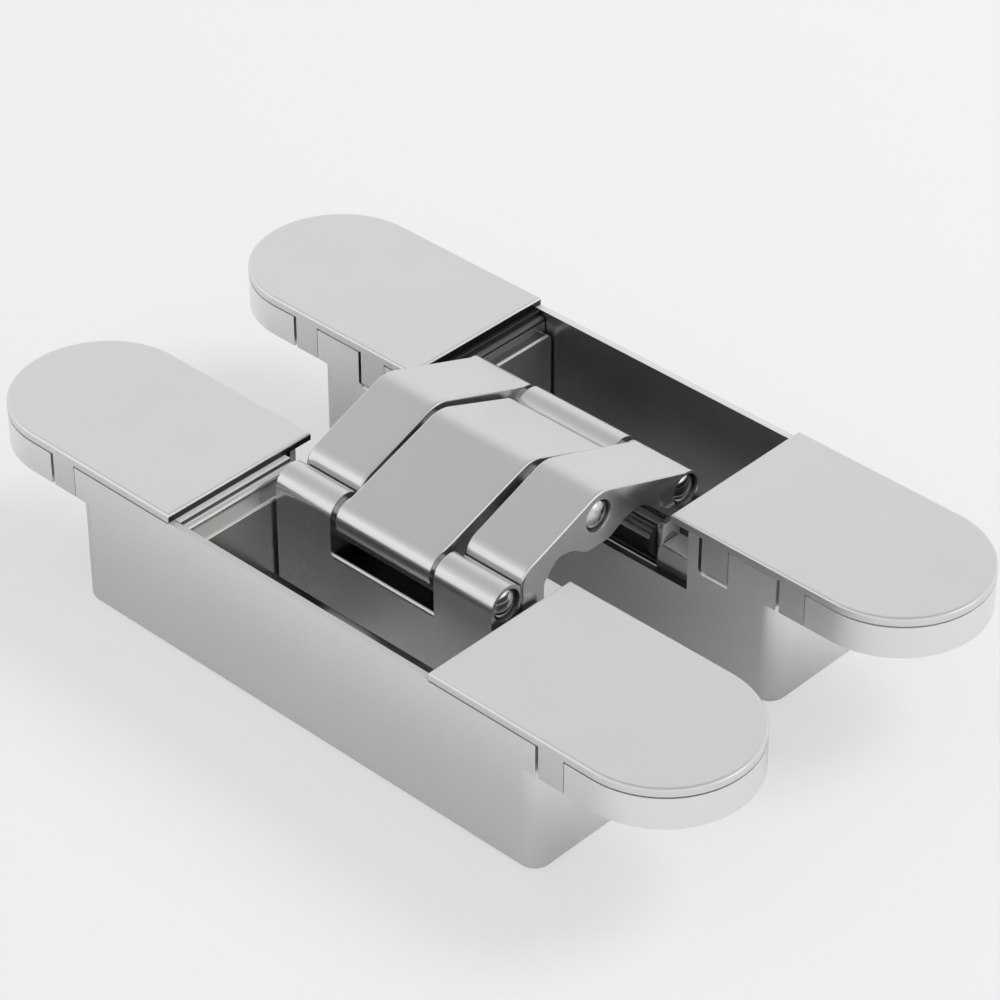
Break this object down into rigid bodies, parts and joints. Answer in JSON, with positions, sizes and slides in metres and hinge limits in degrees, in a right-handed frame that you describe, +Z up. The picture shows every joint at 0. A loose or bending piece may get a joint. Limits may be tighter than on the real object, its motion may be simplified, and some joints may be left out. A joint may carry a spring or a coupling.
{
  "type": "concealed invisible door hinge",
  "caption": "Concealed door hinge, fully open: two stadium face plates with deep pocket boxes, joined by a crossing-arm linkage that folds face to face.",
  "frame": {"origin": "centre of the rectangle that the open hinge stands on", "axes": "+X along the hinge's length, +Y from the near half to the far half, +Z up out of the cover caps"},
  "size_m": [0.148, 0.0824, 0.0335],
  "materials": {
    "cap_satin": "satin nickel plate",
    "housing_cast": "satin nickel on zinc casting",
    "carriage_cast": "bright nickel on zinc casting",
    "arm_cast": "satin nickel on zinc casting",
    "pin_steel": "ground steel",
    "screw_steel": "zinc plated",
    "clamp_steel": "zinc plated",
    "bearing_plastic": "moulded acetal"
  },
  "bodies": {
    "near_side": {"near_housing": "housing_cast", "near_carriage": "carriage_cast", "near_cap_left": "cap_satin", "near_cap_right": "cap_satin", "near_clamp_left": "clamp_steel", "near_clamp_right": "clamp_steel", "near_clamp_screw_left": "screw_steel", "near_clamp_screw_right": "screw_steel", "near_adjuster_left": "screw_steel", "near_adjuster_right": "screw_steel", "near_arm_washer_left": "bearing_plastic", "near_arm_washer_right": "bearing_plastic", "near_link_washer_left": "bearing_plastic", "near_link_washer_right": "bearing_plastic", "near_arm_pin_left": "pin_steel", "near_arm_pin_right": "pin_steel", "near_link_pin": "pin_steel"},
    "outer_arms": {"outer_arm_left": "arm_cast", "outer_arm_right": "arm_cast", "centre_pin": "pin_steel", "far_knuckle_pin": "pin_steel"},
    "middle_arm": {"middle_arm": "arm_cast"},
    "near_link": {"near_link": "arm_cast", "near_knuckle_pin": "pin_steel"},
    "far_link": {"far_link": "arm_cast"},
    "far_side": {"far_housing": "housing_cast", "far_carriage": "carriage_cast", "far_cap_left": "cap_satin", "far_cap_right": "cap_satin", "far_clamp_left": "clamp_steel", "far_clamp_right": "clamp_steel", "far_clamp_screw_left": "screw_steel", "far_clamp_screw_right": "screw_steel", "far_adjuster_left": "screw_steel", "far_adjuster_right": "screw_steel", "far_arm_washer_left": "bearing_plastic", "far_arm_washer_right": "bearing_plastic", "far_link_washer_left": "bearing_plastic", "far_link_washer_right": "bearing_plastic", "far_arm_pin": "pin_steel", "far_link_pin": "pin_steel"}
  },
  "joints": [
    {"name": "fold", "type": "hinge", "parent": "near_side", "child": "outer_arms", "pos_m": [0, -0.0145, 0.0176], "axis": [1, 0, 0], "range_deg": [0, 106.4]},
    {"name": "arm_crossing", "type": "hinge", "parent": "outer_arms", "child": "middle_arm", "pos_m": [0, 0, 0.02932], "axis": [1, 0, 0], "range_deg": [-33, 0]},
    {"name": "far_fold", "type": "hinge", "parent": "middle_arm", "child": "far_side", "pos_m": [0, 0.0145, 0.0176], "axis": [1, 0, 0], "range_deg": [0, 106.4]},
    {"name": "near_link_swing", "type": "hinge", "parent": "middle_arm", "child": "near_link", "pos_m": [0, -0.01986, 0.02362], "axis": [1, 0, 0], "range_deg": [0, 33]},
    {"name": "far_link_swing", "type": "hinge", "parent": "outer_arms", "child": "far_link", "pos_m": [0, 0.01986, 0.02362], "axis": [1, 0, 0], "range_deg": [-33, 0]}
  ],
  "couplings": [
    {"joint": "arm_crossing", "follows": "fold", "ratio": -0.30827},
    {"joint": "far_fold", "follows": "fold", "ratio": 1},
    {"joint": "near_link_swing", "follows": "fold", "ratio": 0.30827},
    {"joint": "far_link_swing", "follows": "fold", "ratio": -0.30827}
  ]
}
